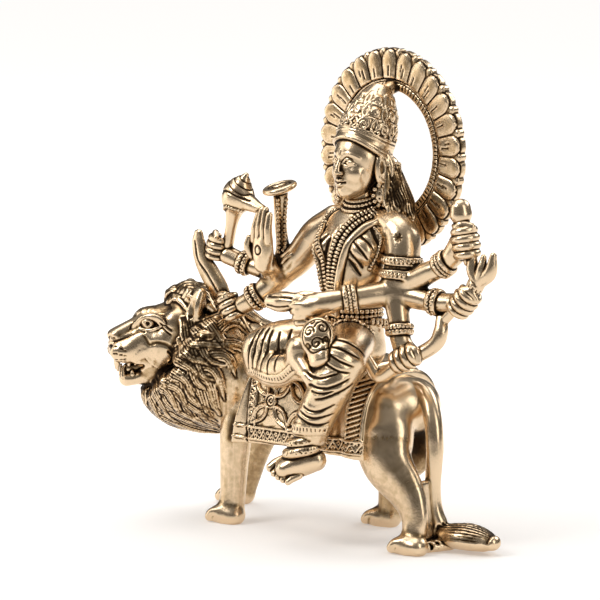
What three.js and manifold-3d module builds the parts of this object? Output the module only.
// Cast brass figure of Durga seated side-saddle on her walking lion, in one casting.
// Millimetres, +Z up. The goddess faces -Y and the lion walks towards -X.
// The origin is on the ground, in the middle of the figure's length and width.
import * as THREE from 'three';
import { mergeVertices } from 'three/addons/utils/BufferGeometryUtils.js';
import Module from 'manifold-3d';

const wasm = await Module();
wasm.setup();

// Driving dimensions
const HEIGHT = 220;           // ground to the top of the halo
const CLOTH_THICKNESS = 2.6;  // saddle cloth
const HALO_THICKNESS = 4.4;   // halo plate, without its petals
const HALO_PETALS = 26;       // lotus petals round the halo
const MANE_LOCKS = 14;        // ridged locks round the ruff of the mane

// The pose is written in millimetres for a figure 220 mm tall, and grows with HEIGHT.
const POSE_HEIGHT = 220;
const SCALE = HEIGHT / POSE_HEIGHT;

const X = new THREE.Vector3(1, 0, 0);
const Y = new THREE.Vector3(0, 1, 0);
const Z = new THREE.Vector3(0, 0, 1);

const at = ([x, y, z]) => new THREE.Vector3(x, y, z).multiplyScalar(SCALE);
const mix = THREE.MathUtils.lerp;
const radians = THREE.MathUtils.degToRad;
const MERGE_DISTANCE = 1e-4;

// A closed solid from a geometry whose shared vertices are merged.
function solid(geometry) {
  const bare = geometry.clone();
  for (const name of ['normal', 'uv']) bare.deleteAttribute(name);
  const merged = mergeVertices(bare, MERGE_DISTANCE);
  return new wasm.Manifold(new wasm.Mesh({
    numProp: 3,
    vertProperties: merged.attributes.position.array,
    triVerts: new Uint32Array(merged.index.array),
  }));
}

// A closed geometry from points and triangles, turned to face outwards.
function closed(points, triangles) {
  let volume = 0;
  for (const [a, b, c] of triangles) {
    volume += points[a].dot(new THREE.Vector3().crossVectors(points[b], points[c]));
  }
  const faces = volume < 0 ? triangles.map(([a, b, c]) => [a, c, b]) : triangles;
  const geometry = new THREE.BufferGeometry().setFromPoints(points);
  geometry.setIndex(faces.flat());
  return geometry;
}

// A rounded limb. Each station is [x, y, z, half width, half depth]: the half depth lies along lean and the
// half width across it. An end with a dome is rounded off, and one without is flat. With flute, every other
// edge is drawn in by that much, which leaves the limb in ridges, and twist winds the ridges round by so many
// edges from end to end.
function limb(stations, { sides = 7, spans = 1, lean = Z, dome = [0, 0.8], flute = 0, twist = 0 } = {}) {
  const line = new THREE.CatmullRomCurve3(stations.map(at));
  const steps = (stations.length - 1) * spans;
  const points = [];
  const ring = (centre, along, wide, deep, t) => {
    const across = new THREE.Vector3().crossVectors(along, lean).normalize();
    const depth = new THREE.Vector3().crossVectors(across, along);
    for (let i = 0; i < sides; i++) {
      const turn = (2 * Math.PI * (i + 0.5 + twist * t)) / sides;
      const groove = i % 2 ? flute : 0;
      points.push(centre.clone()
        .addScaledVector(across, (wide - groove) * SCALE * Math.cos(turn))
        .addScaledVector(depth, (deep - groove) * SCALE * Math.sin(turn)));
    }
  };
  const sizeAt = (t) => {
    const place = Math.min(t * (stations.length - 1), stations.length - 1 - 1e-9);
    const i = Math.floor(place);
    const share = place - i;
    const [, , , w0, d0 = w0] = stations[i];
    const [, , , w1, d1 = w1] = stations[i + 1];
    return [mix(w0, w1, share), mix(d0, d1, share)];
  };
  const end = (t, sign, reach) => {
    const [wide, deep] = sizeAt(t);
    const along = line.getTangent(t);
    const out = Math.min(wide, deep) * reach * SCALE * sign;
    return { wide, deep, along, out, t, base: line.getPoint(t) };
  };
  const first = end(0, -1, dome[0]);
  const last = end(1, 1, dome[1]);
  const tip = ({ base, along, out }) => base.clone().addScaledVector(along, out);
  const shoulder = ({ base, along, out, wide, deep, t }) => {
    if (out) ring(base.clone().addScaledVector(along, out * 0.62), along, wide * 0.7, deep * 0.7, t);
  };
  points.push(tip(first));
  shoulder(first);
  for (let i = 0; i <= steps; i++) {
    const t = i / steps;
    ring(line.getPoint(t), line.getTangent(t), ...sizeAt(t), t);
  }
  shoulder(last);
  points.push(tip(last));
  const triangles = [];
  const rings = (points.length - 2) / sides;
  const final = points.length - 1;
  const lastRing = 1 + (rings - 1) * sides;
  for (let j = 0; j < sides; j++) {
    const next = (j + 1) % sides;
    triangles.push([0, 1 + next, 1 + j]);
    for (let i = 0; i < rings - 1; i++) {
      const a = 1 + i * sides;
      const b = a + sides;
      triangles.push([a + j, a + next, b + next], [a + j, b + next, b + j]);
    }
    triangles.push([final, lastRing + j, lastRing + next]);
  }
  return solid(closed(points, triangles));
}

// An ellipsoid turned about Z by yaw and then placed.
function blob(centre, [rx, ry, rz], { yaw = 0, sides = 10, rings = 7 } = {}) {
  const ball = new THREE.SphereGeometry(1, sides, rings).rotateX(Math.PI / 2);
  ball.scale(rx * SCALE, ry * SCALE, rz * SCALE);
  ball.rotateZ(radians(yaw));
  ball.translate(...at(centre).toArray());
  return solid(ball);
}

// A turned form on an axis from base towards top. The profile lists [radius, height] pairs.
function turned(base, top, profile, sides = 14) {
  const line = profile.map(([r, h]) => new THREE.Vector2(r * SCALE, h * SCALE));
  const form = new THREE.LatheGeometry([new THREE.Vector2(0, line[0].y), ...line,
    new THREE.Vector2(0, line.at(-1).y)], sides);
  const axis = at(top).sub(at(base)).normalize();
  form.applyQuaternion(new THREE.Quaternion().setFromUnitVectors(Y, axis));
  form.translate(...at(base).toArray());
  return solid(closed(pointsOf(form), facesOf(form)));
}

function pointsOf(geometry) {
  const position = geometry.getAttribute('position');
  const point = (_, i) => new THREE.Vector3().fromBufferAttribute(position, i);
  return Array.from({ length: position.count }, point);
}

function facesOf(geometry) {
  const index = geometry.index.array;
  const corners = (_, i) => [...index.slice(3 * i, 3 * i + 3)];
  return Array.from({ length: index.length / 3 }, corners);
}

// A sheet with thickness between two grids of points of the same size.
function sheet(outer, inner) {
  const rows = outer.length;
  const columns = outer[0].length;
  const points = [...outer.flat(), ...inner.flat()];
  const top = (i, j) => i * columns + j;
  const under = (i, j) => rows * columns + i * columns + j;
  const triangles = [];
  const quad = (a, b, c, d) => triangles.push([a, b, c], [a, c, d]);
  for (let i = 0; i < rows - 1; i++) {
    for (let j = 0; j < columns - 1; j++) {
      quad(top(i, j), top(i + 1, j), top(i + 1, j + 1), top(i, j + 1));
      quad(under(i, j), under(i, j + 1), under(i + 1, j + 1), under(i + 1, j));
    }
    quad(top(i, 0), under(i, 0), under(i + 1, 0), top(i + 1, 0));
    quad(top(i + 1, columns - 1), under(i + 1, columns - 1), under(i, columns - 1), top(i, columns - 1));
  }
  for (let j = 0; j < columns - 1; j++) {
    quad(top(0, j + 1), under(0, j + 1), under(0, j), top(0, j));
    quad(top(rows - 1, j), under(rows - 1, j), under(rows - 1, j + 1), top(rows - 1, j + 1));
  }
  return solid(closed(points, triangles));
}

// The stations of a bracelet or anklet: the limb swells from its own radius to a band and back.
function cuff(from, to, radius, proud = 1.3) {
  const along = (share) => from.map((start, i) => mix(start, to[i], share));
  const band = radius + proud;
  return [[...from, radius], [...along(0.12), band], [...along(0.88), band], [...to, radius]];
}

// The lion's barrel, legs, paws and tail. The tail leans on the near hock on its way down.
function lionBody() {
  const barrel = limb([
    [-62, -1, 60, 20, 22], [-45, 0, 60, 23, 22], [-15, 0, 60, 23, 21], [8, 0, 60, 21, 18],
    [22, 0, 61, 17, 13],
  ], { sides: 12 });
  const nearFront = limb([
    [-61.4, -14, 62, 9, 10], [-62.6, -19, 44, 6.5, 8.4], [-63.4, -20, 28, 5.8, 7],
    [-63.4, -21, 6, 5.2, 5.8],
  ], { lean: X, dome: [0, 0] });
  const farFront = limb([
    [-62, 13, 58, 9, 10], [-71, 14, 42, 6.6, 7.6], [-80, 15, 25, 5.4, 6], [-88.6, 16, 6, 5, 5.4],
  ], { lean: X, dome: [0, 0] });
  const nearHind = limb([
    [18, -11, 62, 9, 12], [20, -16, 50, 10, 14.6], [26, -19, 38, 8.5, 12.4], [37, -20, 26.5, 6.2, 9.2],
    [42.5, -20.5, 16, 5, 6.4], [43, -22, 6, 4.6, 5],
  ], { sides: 8, lean: X, dome: [0.6, 0] });
  const farHind = limb([
    [15, 11, 62, 9, 11], [9.5, 14, 48, 8.6, 11], [1.5, 16, 35, 7, 8.6], [-2, 18, 21, 5.4, 6],
    [-3, 18, 6, 5, 5.2],
  ], { lean: X, dome: [0.6, 0] });
  const paws = [[-67, -22.5], [-94.6, 16], [41, -24], [-8, 18]].map(([x, y]) =>
    limb([[x + 6, y, 3.4, 5.6, 5], [x, y, 3, 7, 5.6], [x - 6, y, 2.6, 6.4, 4]], { dome: [0.7, 0.8] }));
  const tail = limb([
    [19, 0, 69, 4], [28, -1, 69.6, 4.2], [35, -3, 65.4, 4.2], [41, -6.4, 56, 4.1], [43.4, -8, 44, 3.9],
    [42.6, -8.4, 28, 3.6], [44, -8, 17, 3.6], [47, -7, 9, 3.8],
  ], { sides: 6, lean: Y, dome: [0, 0] });
  const tuft = limb([
    [45, -7, 7, 3.6, 4], [51, -5.4, 6, 7, 5.6], [61, -4, 5.4, 8, 5.6], [69, -3, 4.6, 4.6, 3.8],
  ]);
  const web = limb([[44, -22, 2, 2.2], [50, -7, 2.4, 2.2]], { sides: 6, dome: [0, 0] });
  return [barrel, nearFront, farFront, nearHind, farHind, ...paws, tail, tuft, web];
}

// The head looks half way round to the rider's front. Its parts are placed by their distance forwards,
// sideways and upwards of the middle of the skull.
const FACE_YAW = 50;
const SKULL = [-96, -22, 86];
const facing = new THREE.Vector3(-Math.cos(radians(FACE_YAW)), -Math.sin(radians(FACE_YAW)), 0);

function onHead(forward, side, up) {
  const [x, y, z] = SKULL;
  return [x + facing.x * forward - facing.y * side, y + facing.y * forward + facing.x * side, z + up];
}

function lionHead() {
  const skull = limb([
    [...onHead(-8, 0, -2), 14, 13], [...onHead(2, 0, -2), 15.5, 15.2],
    [...onHead(12, 0, -3), 12.5, 12.6], [...onHead(18, 0, -5), 9, 9.6],
  ], { sides: 9, dome: [0, 0.3] });
  const muzzle = limb([
    [...onHead(14, 0, -6.4), 9.4, 8.4], [...onHead(24, 0, -6.6), 8.6, 9.4],
    [...onHead(29.6, 0, -6.6), 7, 8.8],
  ], { sides: 8, dome: [0, 0.4] });
  const nose = limb([
    [...onHead(14, 0, 3), 5, 2], [...onHead(30, 0, -0.4), 4.6, 2.2],
  ], { sides: 6, dome: [0, 0.6] });
  const jaw = limb([
    [...onHead(4, 0, -16), 9.5, 9], [...onHead(14, 0, -20), 8, 5.6], [...onHead(25.4, 0, -21.6), 6.4, 4.2],
  ], { dome: [0, 0.7] });
  const brows = [-1, 1].map((s) => limb([
    [...onHead(18.4, 3.5 * s, 4.6), 2.4, 2], [...onHead(14, 9 * s, 7.6), 2.6, 2],
    [...onHead(7, 12.4 * s, 5.6), 2, 1.6],
  ], { sides: 5, dome: [0.5, 0.5] }));
  const ears = [-1, 1].map((s) => limb([
    [...onHead(-6, 12.5 * s, 9), 5, 3.4], [...onHead(-6.6, 13.5 * s, 15.5), 4.6, 3],
    [...onHead(-7, 13.5 * s, 19.5), 3, 2.2],
  ], { sides: 6, lean: facing }));
  return [skull, muzzle, nose, jaw, ...brows, ...ears];
}

// The mane: a full ruff in ridged locks that sweep from the face to the shoulders, with a crest behind
// the ears.
function mane() {
  const ruff = limb([
    [-50, 1, 60, 22, 20], [-62, -2, 63.6, 25.5, 24], [-75, -7.6, 68.4, 29, 30.6],
    [-88, -14.5, 73.6, 29.5, 33],
    [-95, -19, 79, 26, 28], [-98, -22, 82, 20, 21],
  ], { sides: 2 * MANE_LOCKS, dome: [0, 0], flute: 2.4, twist: 1.6 });
  const beard = limb([
    [-101, -26, 66, 12, 12], [-99, -22, 57, 14.4, 13.4], [-90, -14, 51.4, 15, 11.4], [-76, -7, 48, 12, 9],
  ], { sides: 8, lean: X, dome: [0.5, 0] });
  const crest = limb([
    [-100, -19, 97, 8, 8], [-95, -15, 101, 9.4, 8.6], [-82, -9, 97, 10, 8], [-70, -5, 88, 9, 6],
  ], { sides: 7, dome: [0.6, 0] });
  return [ruff, beard, crest];
}

// The saddle cloth hangs from the lion's back over both flanks. Each station is [x, half width, top].
const CLOTH_HEM = 39.4;

function saddleCloth() {
  const stations = [[-52, 24, 79], [-47, 28.4, 82], [-16, 31.5, 85], [6, 30.5, 81], [16.5, 28.5, 76]];
  const steps = 8;
  const layer = (inset) => stations.map(([x, half, top]) => {
    const row = [];
    for (let i = 0; i <= steps; i++) {
      const turn = mix(-Math.PI / 2, Math.PI / 2, i / steps);
      const fall = 1 - Math.cos(turn) ** 0.62;
      const wide = (half - inset) * Math.sign(turn) * Math.abs(Math.sin(turn)) ** 0.75;
      row.push(at([x, wide, mix(top - inset, CLOTH_HEM, fall)]));
    }
    return row;
  });
  return [sheet(layer(0), layer(CLOTH_THICKNESS / SCALE))];
}

// The goddess from the seat upwards to the neck, with the garlands that hang in a V to her lap.
function torso() {
  const trunk = limb([
    [-3, -6, 84, 15, 12], [-2.6, -7, 96, 13.6, 11], [-2, -9, 106, 13.4, 11.4], [-2, -10.4, 117, 15.4, 12],
    [-2, -9, 130, 18, 12.6], [-2, -5, 140.6, 19.2, 10], [-1.6, -3.4, 147, 11, 8],
  ], { sides: 9, lean: Y, dome: [0, 0.4] });
  const breasts = [-1, 1].map((s) => blob([-1.6 + 9.8 * s, -16, 131], [7, 6.4, 7], { sides: 7, rings: 4 }));
  const neck = limb([[-1.4, -4, 146, 6.6], [-2.2, -4, 160, 5.6]], { lean: Y, dome: [0, 0] });
  const hair = limb([
    [0, 8, 166, 9, 6], [1.6, 8.6, 153, 11.4, 7], [3, 9.4, 142, 14, 6.4], [0, 8.4, 130, 14, 5],
  ], { sides: 7, lean: Y, dome: [0, 0.5] });
  const garlands = [
    [
      [-14, -5, 148, 4, 3], [-21, -12, 137, 4.4, 3], [-21.6, -16, 127, 4.2, 3],
      [-16.4, -20, 115, 4, 3], [-6, -22, 100, 3.4, 3],
    ],
    [
      [12, -6, 147.4, 4, 3], [9, -13.6, 140, 4.4, 3], [3.4, -20.6, 129, 4.2, 3],
      [-2, -22, 115, 4, 3], [-5, -22.6, 100, 3.4, 3],
    ],
  ].map((stations) => limb(stations, { sides: 6, lean: Y, dome: [0, 0] }));
  return [trunk, ...breasts, neck, hair, ...garlands];
}

// Head, ears with their round earrings, and the tall crown, which a stud ties to the halo.
function head() {
  const skull = blob([-2.2, -3.6, 168.6], [12, 13.4, 15], { yaw: -12, sides: 9, rings: 7 });
  const jaw = blob([-4.4, -10, 161], [7, 6.4, 5.6], { yaw: -12, sides: 7, rings: 5 });
  const nose = limb([[-5.4, -16, 170.4, 1.4], [-6.2, -18.4, 165, 2, 1.6]], { sides: 5, dome: [0, 0.5] });
  const small = { sides: 6, rings: 4 };
  const ears = [-1, 1].map((s) => blob([-0.6 + 12 * s, -1 + 2 * s, 167], [2.8, 3.8, 7], small));
  const earrings = [-1, 1].map((s) => blob([-1.6 + 10.8 * s, -5 + 2 * s, 157], [3.6, 4.2, 5], small));
  const crown = turned([-2, -3.2, 173], [0.4, 4.6, 200], [
    [13.6, 0], [15.2, 2], [14.8, 7], [13, 9], [12.8, 14], [11.2, 16], [10.8, 20], [8.2, 22.4], [3.4, 28],
  ], 8);
  const stud = limb([[0, 2, 195, 4], [1, 12, 201, 4.6], [1, 17, 203, 4.4]], { sides: 5, dome: [0, 0] });
  return [skull, jaw, nose, ...ears, ...earrings, crown, stud];
}

// The halo stands behind the head: an oval ring of lotus petals, each one standing proud in the middle
// and running out to a rounded tip, with a plain band round the opening.
const HALO = { x: -0.6, y: 17, z: 172.6, outer: [42.8, 46.2], inner: [26, 27.6], yaw: -4 };
// Round each petal, how far its tip reaches and how high it swells
const PETAL_STEPS = [[1, 1], [0.99, 0.8], [0.93, 0], [0.99, 0.8]];

function halo() {
  const [outerX, outerZ] = HALO.outer;
  const [innerX, innerZ] = HALO.inner;
  const half = HALO_THICKNESS / 2 / SCALE;
  const turn = new THREE.Matrix4().makeRotationZ(radians(HALO.yaw));
  const place = (angle, share, depth) => at(new THREE.Vector3(
    Math.sin(angle) * mix(innerX, outerX, share), depth, Math.cos(angle) * mix(innerZ, outerZ, share),
  ).applyMatrix4(turn).add(new THREE.Vector3(HALO.x, HALO.y, HALO.z)).toArray());
  const points = [];
  const steps = HALO_PETALS * PETAL_STEPS.length;
  for (let i = 0; i < steps; i++) {
    const angle = (2 * Math.PI * i) / steps;
    const [reach, swell] = PETAL_STEPS[i % PETAL_STEPS.length];
    const section = [[0, half], [0, -half - 0.8], [0.6, -half - 1.8 * swell + 0.6], [reach, 0]];
    for (const [share, depth] of section) points.push(place(angle, share, depth));
  }
  const sides = points.length / steps;
  const triangles = [];
  for (let i = 0; i < steps; i++) {
    for (let k = 0; k < sides; k++) {
      const a = i * sides + k;
      const b = i * sides + ((k + 1) % sides);
      const c = ((i + 1) % steps) * sides + k;
      const d = ((i + 1) % steps) * sides + ((k + 1) % sides);
      triangles.push([a, b, d], [a, d, c]);
    }
  }
  return [solid(closed(points, triangles))];
}

// The folded right leg and the left leg that hangs down, both wrapped in the skirt, which fills the lap
// between them, and the sash end in front.
function legs() {
  const rightThigh = limb([
    [-4, -10, 88, 12, 11], [-16, -19, 88, 13, 11.6], [-31, -27, 84.6, 12.4, 12.4],
    [-39.6, -31, 81, 9, 11.6],
  ], { sides: 8 });
  const rightShin = limb([
    [-40, -32, 76, 6.6, 8], [-24, -38, 75, 6, 8], [-9, -41, 81, 5, 6],
  ], { dome: [0.6, 0] });
  const lap = limb([
    [-4, -14, 84, 12, 9], [-6, -26, 83, 11, 8.6], [-4, -36, 81, 9, 7],
  ], { sides: 6, dome: [0, 0] });
  const ankle = blob([-5.6, -42.6, 89], [6.6, 5, 6], { sides: 7, rings: 4 });
  const rightFoot = limb([[-7, -43, 86, 4.4, 5.6], [5, -47, 77, 3, 3.4]], { sides: 6 });
  const leftThigh = limb([
    [0, -12, 89.6, 10.6, 10], [7, -24, 89, 11, 10.4], [13, -35.4, 86, 10.4, 10.4],
  ], { sides: 8, dome: [0, 0.6] });
  const leftShin = limb([
    [13.6, -37, 84, 10.4, 9.4], [11.8, -41, 75, 9.6, 9.4], [6.8, -42.4, 65, 8.6, 9],
    [2.2, -43, 55.6, 7.6, 8.6],
    [0.4, -43, 51, 7.4, 8.4], [-0.6, -43, 49.4, 5.4, 5.8], [-2.4, -43.4, 44, 5.6, 6],
  ], { sides: 8, lean: X, dome: [0.8, 0] });
  const sash = limb([
    [1, -37, 97, 8.4, 4], [4, -44, 93, 8.8, 4], [7.4, -50, 85, 7, 3.2], [9, -50.4, 80, 3, 2.4],
  ], { lean: Y, dome: [0.5, 0.5] });
  const anklet = limb([[-2.6, -43.6, 45, 7.4], [-4, -43.8, 41.4, 7.4]], { lean: X, dome: [0.2, 0.2] });
  const leftFoot = limb([
    [3, -41.6, 40, 5, 5.4], [-3.4, -44.6, 38.2, 6.8, 6.8], [-11, -47.6, 35.4, 7.4, 5.8],
    [-16.4, -49.6, 34.4, 5.6, 3.8],
  ], { dome: [0.6, 0.7] });
  return [rightThigh, rightShin, lap, ankle, rightFoot, leftThigh, leftShin, sash, anklet, leftFoot];
}

// A closed hand round a grip.
const fist = (centre, radii) => blob(centre, radii, { sides: 6, rings: 4 });

// The four right forearms fan out from one elbow, and so do the four left ones.
function rightArms() {
  const upper = limb([
    [-17, -3.6, 141.4, 7.6, 8], [-26, -5.6, 134.6, 8, 8.2], [-34, -8, 124.2, 7.6, 7.6],
    [-42, -10.6, 117.4, 7.2, 7],
  ], { sides: 8, lean: Y, dome: [0, 0] });
  const elbow = blob([-43.6, -12, 116.6], [7.4, 7, 7.4], { sides: 7, rings: 4 });
  const conchArm = limb([
    [-45, -12, 116.4, 5.2], ...cuff([-58, -14.8, 118.8], [-63, -16, 120.4], 4.4), [-69, -17.6, 122.6, 4.4],
  ], { sides: 6, dome: [0, 0] });
  const conchHand = fist([-74.6, -18.5, 126.4], [5.8, 5, 6.6]);
  const conch = limb([
    [-68.6, -18, 128, 3], [-66.6, -18, 136, 2.6], [-65.2, -18, 142, 3.8], [-63.8, -18, 147, 7],
    [-62.2, -18, 152, 7],
    [-58.8, -18, 157, 3.2], [-57.2, -18, 160, 0.9],
  ], { lean: Y, dome: [0, 0] });
  const conchLip = limb([[-60, -18.4, 150, 4.6, 3], [-45, -21, 147.4, 2]], { sides: 6 });
  const blessingArm = limb([
    [-43.6, -13, 115, 6], [-43.6, -18, 119, 5], [-43, -22, 125, 4.6],
  ], { sides: 6, lean: X, dome: [0, 0] });
  const blessingHand = limb([
    [-43.8, -23, 122, 5.8, 3.4], [-43.4, -24, 131, 7, 3.2], [-42.2, -24, 141, 6.6, 2.6],
    [-40, -24, 147.6, 4.6, 2.2],
  ], { sides: 6, lean: new THREE.Vector3(-0.5, -0.87, 0), dome: [0.5, 0.5] });
  const discusArm = limb([
    [-43, -9, 117.6, 6], [-42, -11, 130, 5], [-42.4, -12, 142, 4.6], [-42, -12.4, 153, 3.8],
  ], { sides: 6, lean: Y, dome: [0, 0] });
  const rim = [[3, 0], [7.6, 1], [8.2, 2.8], [6, 4.6]];
  const discus = turned([-41.6, -12.6, 153], [-42.2, -13.8, 158], rim, 9);
  const knifeArm = limb([
    [-43.6, -13, 114, 6], ...cuff([-49.6, -17.2, 106.8], [-53.6, -19, 103.6], 5), [-58, -20, 101, 4.6],
  ], { sides: 6, dome: [0, 0] });
  const knifeHand = fist([-63.6, -21, 99.4], [6.6, 5.4, 7]);
  const knife = limb([
    [-66.6, -21, 99, 2, 3.6], [-71.4, -21, 105.6, 2, 4.4], [-75.6, -20.7, 111, 1.7, 4.8],
    [-81.4, -20.4, 118, 1.5, 4.2],
    [-85.4, -20, 126, 1.4, 3.2], [-84.8, -20, 133, 1.1, 1.9],
  ], { sides: 6, lean: X, dome: [0, 0.5] });
  return [upper, elbow, conchArm, conchHand, conch, conchLip, blessingArm, blessingHand, discusArm, discus,
    knifeArm, knifeHand, knife];
}

function leftArms() {
  const upper = limb([
    [15, -3.4, 142, 7.4, 7.4], [21.6, -4.6, 137, 8.8, 8.4],
    ...cuff([24, -7, 128], [24, -8.4, 121.6], 8.8), [23, -9.5, 115, 8, 8],
  ], { sides: 8, lean: Y });
  const buried = { sides: 6, dome: [0, 0] };
  const frontArm = limb([
    [21, -12, 113, 6.2], ...cuff([12.6, -25, 111.6], [8, -29.6, 110.8], 5), [1, -35, 109.4, 4.8],
  ], buried);
  const frontHand = limb([
    [4, -33, 109.4, 4.6, 4.8], [-3, -37, 106.8, 5, 7], [-9, -38.4, 104.6, 4.6, 6],
  ], { sides: 6 });
  const bud = limb([
    [-5, -38, 110, 3, 3], [-12, -39, 109.6, 4, 4.4], [-19, -39.6, 108.4, 4, 5],
    [-25.4, -40, 108, 2.6, 3.6],
  ], { sides: 6 });
  const maceArm = limb([
    [23, -9, 114.6, 6], [40, -8.4, 123.4, 5.2], ...cuff([45, -7.6, 126], [50, -6.8, 129.6], 5),
    [54, -6.6, 134, 5],
  ], buried);
  const maceHand = fist([59, -6, 140], [7.8, 6.2, 9]);
  const mace = limb([
    [59, -7, 133, 3], [57.6, -7, 145, 3.4], [57, -7, 150, 4.6], [56.4, -7, 154, 4.2],
  ], { lean: Y });
  const tridentArm = limb([
    [24, -9.5, 113.4, 6], ...cuff([41.6, -8.7, 111], [46.6, -8.4, 110.7], 4.8), [54, -8, 111.2, 4.6],
  ], buried);
  const tridentHand = fist([59.8, -8, 112.2], [7, 5.6, 8.4]);
  const trident = limb([
    [49, -9.4, 103, 3], [57, -8.6, 111, 2.8], [67.4, -8, 122, 2.8],
  ], { ...buried, lean: Y });
  const prongs = [
    [[67.6, -8, 121, 3], [64, -8, 127, 2.4], [64.4, -8, 134.8, 1.8]],
    [[68, -8, 122, 2.6], [70, -8, 133.4, 1.5]],
    [[67.6, -8, 121.4, 3], [74, -8, 126.4, 2.6], [75.4, -8, 134.2, 1.9]],
  ].map((stations) => limb(stations, { sides: 5, lean: Y, dome: [0, 0.6] }));
  const bowArm = limb([
    [24, -11.5, 112, 6], ...cuff([27.6, -13.6, 101], [28.8, -14.7, 95.4], 5.4), [31, -15.4, 91, 5],
  ], { ...buried, lean: Y });
  const bowHand = fist([34.3, -16.4, 86.8], [7.4, 6, 6.6]);
  const bow = limb([
    [47.8, -9.4, 104, 3], [48.6, -11, 98, 3.8], [45.6, -13, 91.6, 3.8], [30, -18.4, 82, 3.5],
    [22.4, -21, 77, 3.4], [18.6, -22, 81, 3.1], [15.6, -22.4, 86, 2.6],
  ], { ...buried, lean: Y });
  return [upper, frontArm, frontHand, bud, maceArm, maceHand, mace, tridentArm, tridentHand, trident,
    ...prongs, bowArm, bowHand, bow];
}

// One casting: everything is joined, and its feet are cut flat on the ground.
function casting() {
  const forms = [
    ...lionBody(), ...mane(), ...lionHead(), ...saddleCloth(), ...legs(), ...torso(), ...head(), ...halo(),
    ...rightArms(), ...leftArms(),
  ];
  const joined = forms.reduce((whole, form) => whole.add(form));
  const ground = new THREE.BoxGeometry(2 * HEIGHT, 2 * HEIGHT, HEIGHT).translate(0, 0, -HEIGHT / 2);
  return joined.subtract(solid(ground));
}

const { vertProperties, triVerts } = casting().getMesh();
const geometry = new THREE.BufferGeometry();
geometry.setAttribute('position', new THREE.BufferAttribute(vertProperties, 3));
geometry.setIndex(new THREE.BufferAttribute(triVerts, 1));
geometry.computeBoundingBox();
const middle = geometry.boundingBox.getCenter(new THREE.Vector3());
geometry.translate(-middle.x, -middle.y, 0);
geometry.computeVertexNormals();

const brass = new THREE.MeshStandardMaterial({ color: 0xc9a063, roughness: 0.28, metalness: 1 });
const figure = new THREE.Mesh(geometry, brass);
figure.name = 'durga_on_lion';

const group = new THREE.Group();
group.add(figure);
export default group;
